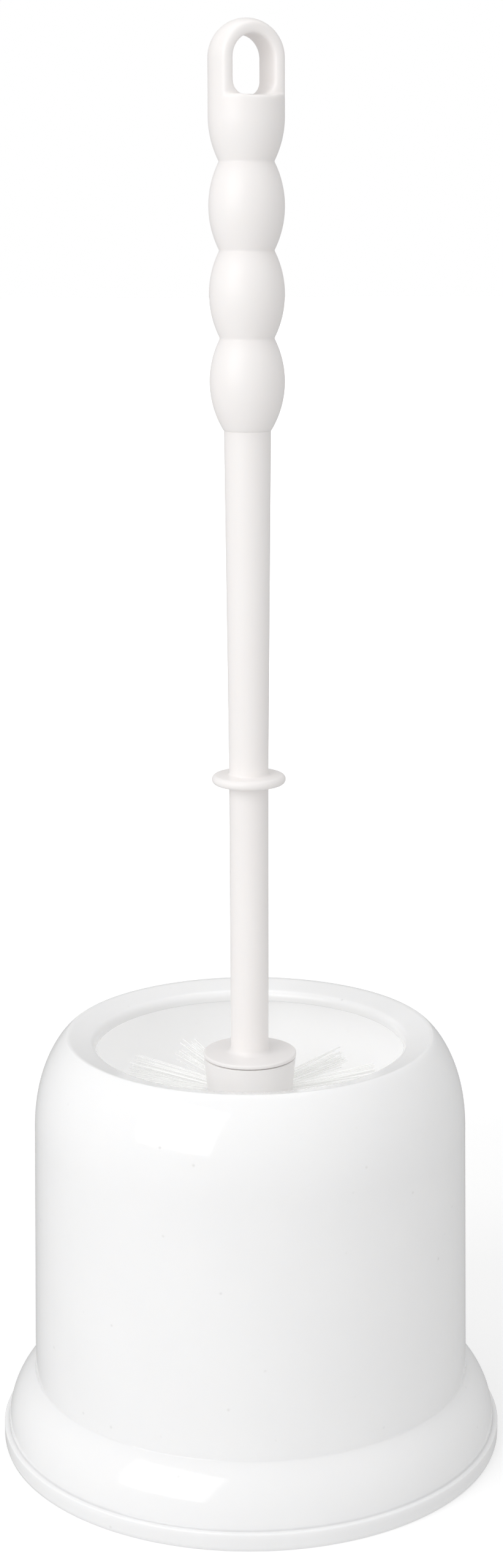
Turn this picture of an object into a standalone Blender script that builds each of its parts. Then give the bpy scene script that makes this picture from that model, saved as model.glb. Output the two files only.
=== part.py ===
"""Toilet brush standing in its bell-shaped holder, in metres, with +Z up.

The origin is on the floor under the middle of the holder. The front is towards -Y.
The holder is a moulded bell with a separate base pressed in from below. The brush is
a moulded handle, a drilled head block under it, and the bristle tufts set in the block.
"""

import math

import bmesh
import bpy
from mathutils import Matrix, Vector

# Holder shell
wall = 0.0018
mouth_radius = 0.0430
lip_bottom = 0.1148
lip_roll = 0.0016
rim_slope = math.radians(15)
crest_radius = 0.0510
crest_height = 0.11985
shoulder_start = math.radians(4)
shoulder_inner_start = math.radians(13)
shoulder_bottom = 0.0916
shoulder_power_out = 1.575
shoulder_power_down = 0.873
wall_top_radius = 0.0605
wall_bottom_radius = 0.0618
flare_top = 0.0212
flare_bottom = 0.0052
flare_end_radius = 0.0696
foot_radius = 0.0711
foot_bottom_radius = 0.0707
foot_inner_radius = 0.0692
band_round = 0.0004
band_round_drop = 0.0006
band_bottom = 0.0010
band_inner_top = 0.0050
shell_steps = 48

# Holder base
fit_gap = 0.0003
base_underside = 0.0008
base_thickness = 0.0018
base_skirt = 0.0020
base_skirt_top = 0.0048
base_chamfer = 0.0004

# Handle
grip_radius = 0.00995
neck_radius = 0.0072
bead_pitch = 0.02255
bead_count = 3
first_neck = 0.3562
grip_end_radius = 0.0064
shaft_top_radius = 0.00625
shaft_ring_radius = 0.00537
shaft_bottom_radius = 0.00528
ring_height = 0.1924
ring_radius = 0.0101
ring_half_thickness = 0.0013
ring_fillet = 0.0005
flange_top = 0.1142
flange_thickness = 0.0011
flange_radius = 0.0130
flange_round = 0.0005
flange_fillet = 0.0016
spigot_radius = 0.0040
spigot_bottom = 0.0955
spigot_chamfer = 0.0005
handle_steps = 24

# Hanging loop at the top of the handle
loop_centre = 0.3819
loop_ledge = 0.3729
loop_thickness = 0.0100
loop_hole_radius = 0.0059
loop_hole_corner = 0.0035
loop_turn = math.radians(27)
loop_cutter_size = 0.030
hole_cutter_half = 0.015

# Brush head block
collar_top_radius = 0.0129
collar_bottom_radius = 0.0119
collar_bottom = 0.1030
core_radius = 0.0112
core_step = 0.0003
dome_centre = 0.0405
block_steps = 20

# Bristle tufts, each along a line from the brush's own axis
tuft_root_radius = 0.0018
tuft_hole_depth = 0.0035
tuft_hole_overshoot = 0.0056
tuft_reach = 0.0375
tuft_tip_radius = 0.0062
tuft_sides = 8
# (height where the tufts' lines meet the axis, tilt above level, tufts, first azimuth), in degrees
tuft_rows = [
    (0.1012, 3, 10, 9),
    (0.0830, 0, 10, 27),
    (0.0650, 0, 10, 9),
    (0.0470, 0, 10, 27),
    (dome_centre, -27, 9, 9),
    (dome_centre, -56, 5, 27),
    (dome_centre, -90, 1, 0),
]

# Colours as linear red, green, blue
holder_white = (0.90, 0.90, 0.91)
base_white = (0.86, 0.86, 0.86)
handle_white = (0.86, 0.84, 0.82)
head_white = (0.84, 0.82, 0.80)
bristle_white = (0.88, 0.88, 0.85)


def clear_scene():
    for obj in list(bpy.data.objects):
        bpy.data.objects.remove(obj, do_unlink=True)


def new_collection(name):
    collection = bpy.data.collections.new(name)
    bpy.context.scene.collection.children.link(collection)
    return collection


def new_material(name, colour, roughness):
    material = bpy.data.materials.new(name)
    material.use_nodes = True
    shader = material.node_tree.nodes["Principled BSDF"]
    shader.inputs["Base Color"].default_value = (*colour, 1.0)
    shader.inputs["Roughness"].default_value = roughness
    shader.inputs["Metallic"].default_value = 0.0
    material.diffuse_color = (*colour, 1.0)
    return material


def arc(centre, radius, start, end, segments):
    """Points on an arc in the (radius, height) plane. Angles are in radians from level outwards."""
    turns = [start + (end - start) * i / segments for i in range(segments + 1)]
    return [(centre[0] + radius * math.cos(a), centre[1] + radius * math.sin(a)) for a in turns]


def turned(name, profile, steps, closed, collection, material):
    """A turned solid: the profile runs down its outer side, and the Screw modifier turns it about Z."""
    mesh = bpy.data.meshes.new(name)
    last = len(profile) if closed else len(profile) - 1
    edges = [(i, (i + 1) % len(profile)) for i in range(last)]
    mesh.from_pydata([(r, 0.0, z) for r, z in profile], edges, [])
    obj = bpy.data.objects.new(name, mesh)
    collection.objects.link(obj)
    screw = obj.modifiers.new("Turn", "SCREW")
    screw.axis = "Z"
    screw.angle = 2 * math.pi
    screw.steps = steps
    screw.render_steps = steps
    screw.use_merge_vertices = True
    screw.merge_threshold = 0.00005
    screw.use_smooth_shade = True
    obj.data.materials.append(material)
    return obj


def mesh_copy(obj):
    """The object's evaluated shape as a plain mesh, with its loose caps welded."""
    graph = bpy.context.evaluated_depsgraph_get()
    mesh = bpy.data.meshes.new_from_object(obj.evaluated_get(graph))
    shape = bmesh.new()
    shape.from_mesh(mesh)
    bmesh.ops.remove_doubles(shape, verts=shape.verts, dist=0.00002)
    shape.to_mesh(mesh)
    shape.free()
    return mesh


def as_cutter(obj, cutters):
    obj.hide_render = True
    obj.display_type = "WIRE"
    if obj.name not in cutters.objects:
        for collection in list(obj.users_collection):
            collection.objects.unlink(obj)
        cutters.objects.link(obj)
    return obj


def cut(obj, cutter, name):
    boolean = obj.modifiers.new(name, "BOOLEAN")
    boolean.operation = "DIFFERENCE"
    boolean.solver = "EXACT"
    boolean.object = cutter


def shoulder(offset, start, segments):
    """The rounded shoulder, from the rim's crest down to the wall; offset moves it off the outer face."""
    width = wall_top_radius - crest_radius
    height = crest_height - shoulder_bottom
    points = []
    for i in range(segments + 1):
        turn = start + (math.pi / 2 - start) * i / segments
        out, up = math.sin(turn), math.cos(turn)
        radius = crest_radius + width * out**shoulder_power_out
        level = shoulder_bottom + height * up**shoulder_power_down
        across = width * shoulder_power_out * out ** (shoulder_power_out - 1) * up
        down = height * shoulder_power_down * up ** (shoulder_power_down - 1) * out
        length = math.hypot(across, down)
        points.append((radius + offset * down / length, level + offset * across / length))
    return points


def foot_flare(radius_change, segments):
    """The flare's arc, from the wall's crease down to the foot; radius_change moves it off the outer face."""
    width = flare_end_radius - wall_bottom_radius
    height = flare_top - flare_bottom
    radius = (width**2 + height**2) / (2 * width)
    centre = (flare_end_radius - radius, flare_bottom)
    start_radius = wall_bottom_radius + radius_change
    start = math.acos((start_radius - centre[0]) / (radius + radius_change))
    return arc(centre, radius + radius_change, start, 0.0, segments)


def rim_level(radius):
    """Height of the rim's sloping top face, which falls from the crest towards the mouth."""
    return crest_height - (crest_radius - radius) * math.tan(rim_slope)


def holder_shell_profile():
    """A closed section of the bell: over the rim, down the outside, and back up the inside."""
    up_and_in = math.pi / 2 + rim_slope
    roll_centre_r = mouth_radius + lip_roll
    roll_end_r = roll_centre_r + lip_roll * math.cos(up_and_in)
    roll_end_z = rim_level(roll_end_r)
    roll_centre = (roll_centre_r, roll_end_z - lip_roll * math.sin(up_and_in))

    outside = [(mouth_radius, lip_bottom)]
    outside += arc(roll_centre, lip_roll, math.pi, up_and_in, 3)
    outside += shoulder(0.0, shoulder_start, 10)
    outside += foot_flare(0.0, 6)
    outside += [
        (foot_radius - band_round, flare_bottom),
        (foot_radius, flare_bottom - band_round_drop),
        (foot_radius, band_bottom),
        (foot_bottom_radius, 0.0),
    ]

    lip_back = mouth_radius + wall
    inside = [(lip_back, lip_bottom), (lip_back, rim_level(lip_back) - wall / math.cos(rim_slope))]
    inside += shoulder(-wall, shoulder_inner_start, 5)
    inside += foot_flare(-wall, 4)
    inside += [(foot_inner_radius, band_inner_top), (foot_inner_radius, 0.0)]
    return outside + inside[::-1]


def holder_base_profile():
    floor_top = base_underside + base_thickness
    outer = foot_inner_radius - fit_gap
    inner = outer - base_skirt
    return [
        (0.0, floor_top),
        (inner, floor_top),
        (inner, base_skirt_top),
        (outer, base_skirt_top),
        (outer, base_underside + base_chamfer),
        (outer - base_chamfer, base_underside),
        (0.0, base_underside),
    ]


def grip_profile():
    """From the top of the loop down over the straight cap and the beads to the shaft."""
    half_pitch = bead_pitch / 2
    rise = grip_radius - neck_radius
    bead_radius = (half_pitch**2 + rise**2) / (2 * rise)
    neck_turn = math.asin(half_pitch / bead_radius)
    end_turn = math.acos((bead_radius - grip_radius + grip_end_radius) / bead_radius)
    centre_r = grip_radius - bead_radius

    points = arc((0.0, loop_centre), grip_radius, math.pi / 2, 0.0, 6)
    points += arc((centre_r, first_neck + half_pitch), bead_radius, 0.0, -neck_turn, 3)
    for bead in range(bead_count):
        last = bead == bead_count - 1
        centre_z = first_neck - half_pitch - bead * bead_pitch
        low_turn = end_turn if last else neck_turn
        points += arc((centre_r, centre_z), bead_radius, neck_turn, -low_turn, 6)[1:]
    return points


def handle_profile():
    ring_round = ring_radius - ring_half_thickness
    ring_top = ring_height + ring_half_thickness
    ring_bottom = ring_height - ring_half_thickness
    fillet_centre = (shaft_bottom_radius + flange_fillet, flange_top + flange_fillet)
    edge_centre = (flange_radius - flange_round, flange_top - flange_round)
    flange_bottom = flange_top - flange_thickness

    points = grip_profile()
    points.append((shaft_top_radius, points[-1][1]))
    points += [
        (shaft_ring_radius, ring_top + ring_fillet),
        (shaft_ring_radius + ring_fillet, ring_top),
    ]
    points += arc((ring_round, ring_height), ring_half_thickness, math.pi / 2, -math.pi / 2, 6)
    points += [
        (shaft_bottom_radius + ring_fillet, ring_bottom),
        (shaft_bottom_radius, ring_bottom - ring_fillet),
    ]
    points += arc(fillet_centre, flange_fillet, math.pi, 1.5 * math.pi, 3)
    points += arc(edge_centre, flange_round, math.pi / 2, 0.0, 2)
    points += [
        (flange_radius, flange_bottom),
        (spigot_radius, flange_bottom),
        (spigot_radius, spigot_bottom + spigot_chamfer),
        (spigot_radius - spigot_chamfer, spigot_bottom),
        (0.0, spigot_bottom),
    ]
    return points


def head_block_profile():
    """From the floor of the spigot's bore, up the bore, and down the outside to the dome."""
    bore_radius = spigot_radius + fit_gap
    bore_bottom = spigot_bottom - fit_gap
    top = flange_top - flange_thickness - fit_gap
    points = [
        (0.0, bore_bottom),
        (bore_radius, bore_bottom),
        (bore_radius, top),
        (collar_top_radius, top),
        (collar_bottom_radius, collar_bottom),
        (core_radius, collar_bottom - core_step),
    ]
    points += arc((0.0, dome_centre), core_radius, 0.0, -math.pi / 2, 6)
    return points


def loop_hole_cutter(cutters):
    """A prism with a round top and rounded lower corners, along the loop's own thickness."""
    corner_r = loop_hole_radius - loop_hole_corner
    corner_z = loop_ledge + loop_hole_corner
    outline = arc((0.0, loop_centre), loop_hole_radius, 0.0, math.pi, 8)
    outline += arc((-corner_r, corner_z), loop_hole_corner, math.pi, 1.5 * math.pi, 3)
    outline += arc((corner_r, corner_z), loop_hole_corner, 1.5 * math.pi, 2 * math.pi, 3)
    curve = bpy.data.curves.new("loop_hole_outline", "CURVE")
    curve.dimensions = "2D"
    curve.fill_mode = "BOTH"
    curve.extrude = hole_cutter_half
    spline = curve.splines.new("POLY")
    spline.points.add(len(outline) - 1)
    for point, (across, height) in zip(spline.points, outline):
        point.co = (across, height, 0.0, 1.0)
    spline.use_cyclic_u = True
    guide = bpy.data.objects.new("loop_hole_outline", curve)
    cutters.objects.link(guide)
    cutter = bpy.data.objects.new("loop_hole", mesh_copy(guide))
    bpy.data.objects.remove(guide, do_unlink=True)
    cutter.matrix_world = Matrix.Rotation(loop_turn, 4, "Z") @ Matrix.Rotation(math.pi / 2, 4, "X")
    cutters.objects.link(cutter)
    return as_cutter(cutter, cutters)


def loop_face_cutter(side, cutters):
    """A block that takes away the round grip on one side of the loop, above its ledge."""
    bpy.ops.mesh.primitive_cube_add(size=loop_cutter_size)
    cutter = bpy.context.object
    cutter.name = f"loop_face_{side}"
    sign = 1 if side == "front" else -1
    outward = Matrix.Rotation(loop_turn, 4, "Z") @ Vector((0.0, -sign, 0.0))
    cutter.location = outward * (loop_thickness + loop_cutter_size) / 2
    cutter.location.z = loop_ledge + loop_cutter_size / 2
    cutter.rotation_euler = (0.0, 0.0, loop_turn)
    return as_cutter(cutter, cutters)


def make_handle(parts, cutters, material):
    handle = turned("brush_handle", handle_profile(), handle_steps, False, parts, material)
    for side in ("front", "back"):
        cut(handle, loop_face_cutter(side, cutters), f"Loop face {side}")
    cut(handle, loop_hole_cutter(cutters), "Loop hole")
    return handle


def tuft_places():
    """The name, the point on the axis and the outward direction of each tuft."""
    for row, (height, tilt, count, first) in enumerate(tuft_rows, start=1):
        for number in range(count):
            azimuth = math.radians(first + 360 * number / count)
            lift = math.radians(tilt)
            level = math.cos(lift)
            outward = Vector((math.cos(azimuth) * level, math.sin(azimuth) * level, math.sin(lift)))
            yield f"tuft_{row}_{number + 1:02d}", Vector((0.0, 0.0, height)), outward


def make_head_block(parts, cutters, material):
    block = turned("brush_head", head_block_profile(), block_steps, False, parts, material)
    holes = bmesh.new()
    hole_radius = tuft_root_radius + fit_gap
    hole_end = core_radius + tuft_hole_overshoot
    depth = hole_end - (core_radius - tuft_hole_depth)
    middle = hole_end - depth / 2
    for _, point, outward in tuft_places():
        turn = outward.to_track_quat("Z", "Y").to_matrix().to_4x4()
        place = Matrix.Translation(point + outward * middle) @ turn
        bmesh.ops.create_cone(
            holes,
            cap_ends=True,
            segments=tuft_sides,
            radius1=hole_radius,
            radius2=hole_radius,
            depth=depth,
            matrix=place,
        )
    mesh = bpy.data.meshes.new("tuft_holes")
    holes.to_mesh(mesh)
    holes.free()
    cutter = bpy.data.objects.new("tuft_holes", mesh)
    cutters.objects.link(cutter)
    cut(block, as_cutter(cutter, cutters), "Tuft holes")
    return block


def tuft_mesh(parts, material):
    """One bundle of bristles: round in its hole, then opening out to a flat-trimmed end."""
    root = core_radius - tuft_hole_depth + fit_gap
    profile = [
        (0.0, tuft_reach),
        (tuft_tip_radius, tuft_reach),
        (tuft_root_radius, core_radius + fit_gap),
        (tuft_root_radius, root),
        (0.0, root),
    ]
    pattern = turned("tuft_pattern", profile, tuft_sides, False, parts, material)
    mesh = mesh_copy(pattern)
    mesh.name = "tuft"
    bpy.data.objects.remove(pattern, do_unlink=True)
    return mesh


def make_tufts(parts, material):
    mesh = tuft_mesh(parts, material)
    tufts = []
    for name, point, outward in tuft_places():
        tuft = bpy.data.objects.new(name, mesh)
        tuft.location = point
        tuft.rotation_mode = "QUATERNION"
        tuft.rotation_quaternion = outward.to_track_quat("Z", "Y")
        parts.objects.link(tuft)
        tufts.append(tuft)
    return tufts


def main():
    clear_scene()
    parts = new_collection("toilet_brush_set")
    cutters = new_collection("cutters")
    holder_plastic = new_material("holder_plastic", holder_white, 0.12)
    base_plastic = new_material("base_plastic", base_white, 0.30)
    handle_plastic = new_material("handle_plastic", handle_white, 0.22)
    head_plastic = new_material("head_plastic", head_white, 0.30)
    bristle = new_material("bristle", bristle_white, 0.35)

    turned("holder_shell", holder_shell_profile(), shell_steps, True, parts, holder_plastic)
    turned("holder_base", holder_base_profile(), shell_steps, False, parts, base_plastic)

    brush = [make_handle(parts, cutters, handle_plastic)]
    brush += [make_head_block(parts, cutters, head_plastic)]
    brush += make_tufts(parts, bristle)
    lift_axis = bpy.data.objects.new("brush_lift_axis", None)
    parts.objects.link(lift_axis)
    for piece in brush:
        piece.parent = lift_axis


main()
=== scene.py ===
import math
import random

import bmesh
import bpy
import numpy as np
from mathutils import Matrix, Vector, noise


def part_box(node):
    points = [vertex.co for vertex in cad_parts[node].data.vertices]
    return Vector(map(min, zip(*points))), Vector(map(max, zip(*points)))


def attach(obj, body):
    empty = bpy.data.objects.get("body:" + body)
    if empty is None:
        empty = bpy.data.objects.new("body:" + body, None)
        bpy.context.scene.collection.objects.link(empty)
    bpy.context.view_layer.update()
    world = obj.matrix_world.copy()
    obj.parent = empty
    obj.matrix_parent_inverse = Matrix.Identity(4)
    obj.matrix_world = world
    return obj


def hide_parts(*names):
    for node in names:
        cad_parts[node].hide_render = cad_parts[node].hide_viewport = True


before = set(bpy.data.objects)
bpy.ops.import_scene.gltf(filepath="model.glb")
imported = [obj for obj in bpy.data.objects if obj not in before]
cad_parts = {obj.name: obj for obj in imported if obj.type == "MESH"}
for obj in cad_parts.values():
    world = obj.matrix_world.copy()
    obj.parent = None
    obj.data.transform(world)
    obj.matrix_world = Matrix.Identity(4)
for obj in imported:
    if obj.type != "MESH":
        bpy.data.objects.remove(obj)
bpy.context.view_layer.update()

scene = bpy.context.scene
_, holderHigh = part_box("holder_shell")
handleLow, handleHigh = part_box("brush_handle")
_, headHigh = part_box("brush_head")
baseLow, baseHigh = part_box("holder_base")
fitGap = 0.0003  # between the spigot and the bore it is pushed into


# Small helpers for node trees

def addNode(tree, kind, settings=None, **inputs):
    node = tree.nodes.new(kind)
    for key, value in (settings or {}).items():
        setattr(node, key, value)
    for label, value in inputs.items():
        plug(tree, value, node.inputs[label.replace("_", " ")])
    return node


def plug(tree, value, socket):
    if isinstance(value, bpy.types.NodeSocket):
        tree.links.new(value, socket)
    else:
        socket.default_value = value


def maths(tree, operation, *values):
    node = addNode(tree, "ShaderNodeMath", {"operation": operation})
    for value, socket in zip(values, node.inputs):
        plug(tree, value, socket)
    return node.outputs["Value"]


def vectorMaths(tree, operation, *values):
    node = addNode(tree, "ShaderNodeVectorMath", {"operation": operation})
    for value, socket in zip(values, node.inputs):
        plug(tree, value, socket)
    return node.outputs["Vector"]


def scaled(tree, vector, factor):
    node = addNode(tree, "ShaderNodeVectorMath", {"operation": "SCALE"})
    plug(tree, vector, node.inputs[0])
    plug(tree, factor, node.inputs["Scale"])
    return node.outputs["Vector"]


# Materials

def newMaterial(name):
    material = bpy.data.materials.new(name)
    material.use_nodes = True
    tree = material.node_tree
    return material, tree, tree.nodes["Principled BSDF"]


def placeOn(tree, scale):
    where = addNode(tree, "ShaderNodeTexCoord").outputs["Object"]
    return addNode(tree, "ShaderNodeMapping", Vector=where, Scale=scale).outputs["Vector"]


def grain(tree, where, scale, detail=2.0):
    return addNode(tree, "ShaderNodeTexNoise", Vector=where, Scale=scale, Detail=detail).outputs["Fac"]


def between(tree, amount, low, high, toLow=0.0, toHigh=1.0):
    node = addNode(tree, "ShaderNodeMapRange")
    for label, value in (("Value", amount), ("From Min", low), ("From Max", high),
                         ("To Min", toLow), ("To Max", toHigh)):
        plug(tree, value, node.inputs[label])
    return node.outputs["Result"]


def tinted(tree, amount, first, second):
    # A Mix node keeps its colour sockets sixth and seventh, after those of its other kinds
    node = addNode(tree, "ShaderNodeMix", {"data_type": "RGBA"})
    plug(tree, amount, node.inputs[0])
    for colour, socket in ((first, node.inputs[6]), (second, node.inputs[7])):
        plug(tree, colour if isinstance(colour, bpy.types.NodeSocket) else (*colour, 1.0), socket)
    return node.outputs[2]


colourBand = (0.35, 0.65)  # the part of a noise's range over which one colour turns to the other
roughBand = (0.3, 0.7)


def clouded(tree, cloud, finish):
    # Colour and roughness both drift a little with the same cloud
    colour = tinted(tree, between(tree, cloud, *colourBand), finish["colour"], finish["shadeColour"])
    rough = between(tree, cloud, *roughBand, finish["roughness"],
                    finish["roughness"] + finish["roughnessSpread"])
    return colour, rough


def carryLight(shader, finish):
    # White plastic is milky: light goes a little way in and comes out beside where it went in
    shader.inputs["IOR"].default_value = finish["refraction"]
    shader.inputs["Subsurface Weight"].default_value = finish["milkiness"]
    shader.inputs["Subsurface Radius"].default_value = finish["milkTint"]
    shader.inputs["Subsurface Scale"].default_value = finish["milkDepth"]


holderFinish = {
    "colour": (0.915, 0.915, 0.917),
    "shadeColour": (0.905, 0.905, 0.908),
    "speckColour": (0.66, 0.65, 0.64),
    "roughness": 0.07,
    "roughnessSpread": 0.03,
    "waveScale": 45.0,
    "waveHeight": 0.00002,
    "skinScale": 700.0,
    "skinHeight": 0.0000035,
    "patchScale": 103.5,  # specks keep to the patches where this noise is high
    "patchFrom": 0.56,
    "patchTo": 0.62,
    "speckScale": 190.0,
    "speckSize": 0.036,
    "speckFade": 3.0,  # its soft edge ends at this many times its size
    "speckShow": 0.40,
    "speckHeight": 0.00003,
    # strength of the painted glow on the inner face, in place of light that comes through the wall
    "paintedInnerGlow": 0.21,
    "refraction": 1.49,
    "milkiness": 1.0,
    "milkTint": (1.0, 0.98, 0.95),
    "milkDepth": 0.0015,
}


def glossyHolderPlastic():
    finish = holderFinish
    material, tree, shader = newMaterial("glossyHolderPlastic")
    where = placeOn(tree, (1.0, 1.0, 1.0))
    cloud = grain(tree, where, finish["waveScale"], 3.0)
    skin = grain(tree, where, finish["skinScale"])
    patch = grain(tree, where, finish["patchScale"], 1.0)
    cells = addNode(tree, "ShaderNodeTexVoronoi", Vector=where, Scale=finish["speckScale"])
    size = finish["speckSize"]
    speckEdge = between(tree, cells.outputs["Distance"], size, size * finish["speckFade"], 1.0, 0.0)
    rare = between(tree, patch, finish["patchFrom"], finish["patchTo"])
    speck = maths(tree, "MULTIPLY", speckEdge, rare)
    plain, rough = clouded(tree, cloud, finish)
    shown = maths(tree, "MULTIPLY", speck, finish["speckShow"])
    plug(tree, tinted(tree, shown, plain, finish["speckColour"]), shader.inputs["Base Color"])
    plug(tree, rough, shader.inputs["Roughness"])
    wave = addNode(tree, "ShaderNodeBump", Height=cloud, Distance=finish["waveHeight"])
    fine = addNode(tree, "ShaderNodeBump", Height=skin, Distance=finish["skinHeight"])
    plug(tree, wave.outputs["Normal"], fine.inputs["Normal"])
    pit = addNode(tree, "ShaderNodeBump", {"invert": True}, Height=speck, Distance=finish["speckHeight"])
    plug(tree, fine.outputs["Normal"], pit.inputs["Normal"])
    plug(tree, pit.outputs["Normal"], shader.inputs["Normal"])
    # Painted glow: an emission on the inner face brightens the inside of the pot, standing in for light
    # that comes through the thin wall
    innerFace = addNode(tree, "ShaderNodeAttribute", {"attribute_name": "innerFace"}).outputs["Fac"]
    through = maths(tree, "MULTIPLY", innerFace, finish["paintedInnerGlow"])
    shader.inputs["Emission Color"].default_value = (1.0, 1.0, 1.0, 1.0)
    plug(tree, through, shader.inputs["Emission Strength"])
    carryLight(shader, finish)
    return material


handleFinish = {
    "colour": (0.935, 0.905, 0.892),
    "shadeColour": (0.923, 0.892, 0.878),
    "roughness": 0.34,
    "roughnessSpread": 0.06,
    "grainStretch": (1.0, 1.0, 0.45),
    "cloudScale": 60.0,
    "skinScale": 1100.0,
    "skinHeight": 0.000006,
    "waveHeight": 0.000006,
    "refraction": 1.49,
    "milkiness": 0.2,
    "milkTint": (1.0, 0.93, 0.85),
    "milkDepth": 0.003,
}

headFinish = {
    **handleFinish,
    "colour": (0.965, 0.940, 0.928),
    "shadeColour": (0.955, 0.929, 0.916),
    "roughness": 0.36,
}

baseFinish = {
    **handleFinish,
    "colour": (0.955, 0.955, 0.957),
    "shadeColour": (0.945, 0.945, 0.948),
    "roughness": 0.28,
}


def satinPlastic(name, finish):
    material, tree, shader = newMaterial(name)
    where = placeOn(tree, finish["grainStretch"])
    cloud = grain(tree, where, finish["cloudScale"], 3.0)
    skin = grain(tree, where, finish["skinScale"])
    colour, rough = clouded(tree, cloud, finish)
    plug(tree, colour, shader.inputs["Base Color"])
    plug(tree, rough, shader.inputs["Roughness"])
    wave = addNode(tree, "ShaderNodeBump", Height=cloud, Distance=finish["waveHeight"])
    fine = addNode(tree, "ShaderNodeBump", Height=skin, Distance=finish["skinHeight"])
    plug(tree, wave.outputs["Normal"], fine.inputs["Normal"])
    plug(tree, fine.outputs["Normal"], shader.inputs["Normal"])
    carryLight(shader, finish)
    return material


bristleFinish = {
    "colour": (0.965, 0.968, 0.955),
    "shadeColour": (0.990, 0.990, 0.985),
    "roughness": 0.22,
    "roughnessSpread": 0.08,
    "strandScale": 900.0,
    # tint and strength of the painted glow on the strands
    "paintedGlowTint": (1.0, 1.0, 0.985),
    "paintedGlowStrength": 0.12,
    "refraction": 1.53,
}


def clearBristleNylon():
    finish = bristleFinish
    material, tree, shader = newMaterial("clearBristleNylon")
    where = placeOn(tree, (1.0, 1.0, 1.0))
    colour, rough = clouded(tree, grain(tree, where, finish["strandScale"]), finish)
    plug(tree, colour, shader.inputs["Base Color"])
    plug(tree, rough, shader.inputs["Roughness"])
    shader.inputs["IOR"].default_value = finish["refraction"]
    # Painted glow: a weak emission brightens the strands, standing in for light that clear nylon carries
    # deep into a tuft
    shader.inputs["Emission Color"].default_value = (*finish["paintedGlowTint"], 1.0)
    shader.inputs["Emission Strength"].default_value = finish["paintedGlowStrength"]
    return material


# Turned pieces: a profile of (radius, height) points, listed down the outer side, swept round Z

spindleRadius = 0.01
weldDistance = 0.000002


def turningTree():
    tree = bpy.data.node_groups.new("turnedProfile", "GeometryNodeTree")
    face = tree.interface
    for label, kind in (("Profile", "Geometry"), ("Steps", "Int"), ("Spindle Radius", "Float"),
                        ("Weld Distance", "Float"), ("Finish", "Material")):
        face.new_socket(label, in_out="INPUT", socket_type="NodeSocket" + kind)
    face.new_socket("Piece", in_out="OUTPUT", socket_type="NodeSocketGeometry")
    given = addNode(tree, "NodeGroupInput").outputs
    line = addNode(tree, "GeometryNodeMeshToCurve", Mesh=given["Profile"])
    spindle = addNode(tree, "GeometryNodeCurvePrimitiveCircle", Resolution=given["Steps"],
                      Radius=given["Spindle Radius"])
    level = addNode(tree, "GeometryNodeSetCurveNormal", {"mode": "Z_UP"}, Curve=spindle.outputs["Curve"])
    swept = addNode(tree, "GeometryNodeCurveToMesh", Curve=level.outputs["Curve"])
    plug(tree, line.outputs["Curve"], swept.inputs["Profile Curve"])
    welded = addNode(tree, "GeometryNodeMergeByDistance", Geometry=swept.outputs["Mesh"],
                     Distance=given["Weld Distance"])
    smooth = addNode(tree, "GeometryNodeSetShadeSmooth", Geometry=welded.outputs["Geometry"])
    real = addNode(tree, "GeometryNodeRealizeInstances", Geometry=smooth.outputs["Geometry"])
    dressed = addNode(tree, "GeometryNodeSetMaterial", Geometry=real.outputs["Geometry"],
                      Material=given["Finish"])
    out = addNode(tree, "NodeGroupOutput")
    plug(tree, dressed.outputs["Geometry"], out.inputs["Piece"])
    return tree


def grown(name, startMesh, tree, values):
    obj = bpy.data.objects.new(name, startMesh)
    scene.collection.objects.link(obj)
    modifier = obj.modifiers.new(tree.name, "NODES")
    modifier.node_group = tree
    sockets = {item.name: item.identifier for item in tree.interface.items_tree
               if item.in_out == "INPUT"}
    for label, value in values.items():
        modifier[sockets[label]] = value
    graph = bpy.context.evaluated_depsgraph_get()
    mesh = bpy.data.meshes.new_from_object(obj.evaluated_get(graph))
    obj.modifiers.remove(modifier)
    obj.data = mesh
    mesh.name = name
    bpy.data.meshes.remove(startMesh)
    return obj


def turned(name, profile, steps, closed, finish):
    count = len(profile)
    edges = [(i, (i + 1) % count) for i in range(count if closed else count - 1)]
    mesh = bpy.data.meshes.new(name + "Profile")
    mesh.from_pydata([(r - spindleRadius, -z, 0.0) for r, z in profile], edges, [])
    return grown(name, mesh, turning, {"Steps": steps, "Spindle Radius": spindleRadius,
                                       "Weld Distance": weldDistance, "Finish": finish})


def softened(points, steps=5):
    # A point may carry a third number: how far from the corner its rounding starts
    result = []
    for i, point in enumerate(points):
        reach = point[2] if len(point) > 2 else 0.0
        here = Vector(point[:2])
        if reach == 0.0:
            result.append(tuple(here))
            continue
        before = Vector(points[i - 1][:2])
        after = Vector(points[(i + 1) % len(points)][:2])
        start = here + (before - here).normalized() * reach
        end = here + (after - here).normalized() * reach
        for k in range(steps + 1):
            t = k / steps
            result.append(tuple(start.lerp(here, t).lerp(here.lerp(end, t), t)))
    return result


def arc(centre, radius, start, end, steps):
    turns = [start + (end - start) * i / steps for i in range(steps + 1)]
    return [(centre[0] + radius * math.cos(a), centre[1] + radius * math.sin(a)) for a in turns]


# The holder

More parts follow.
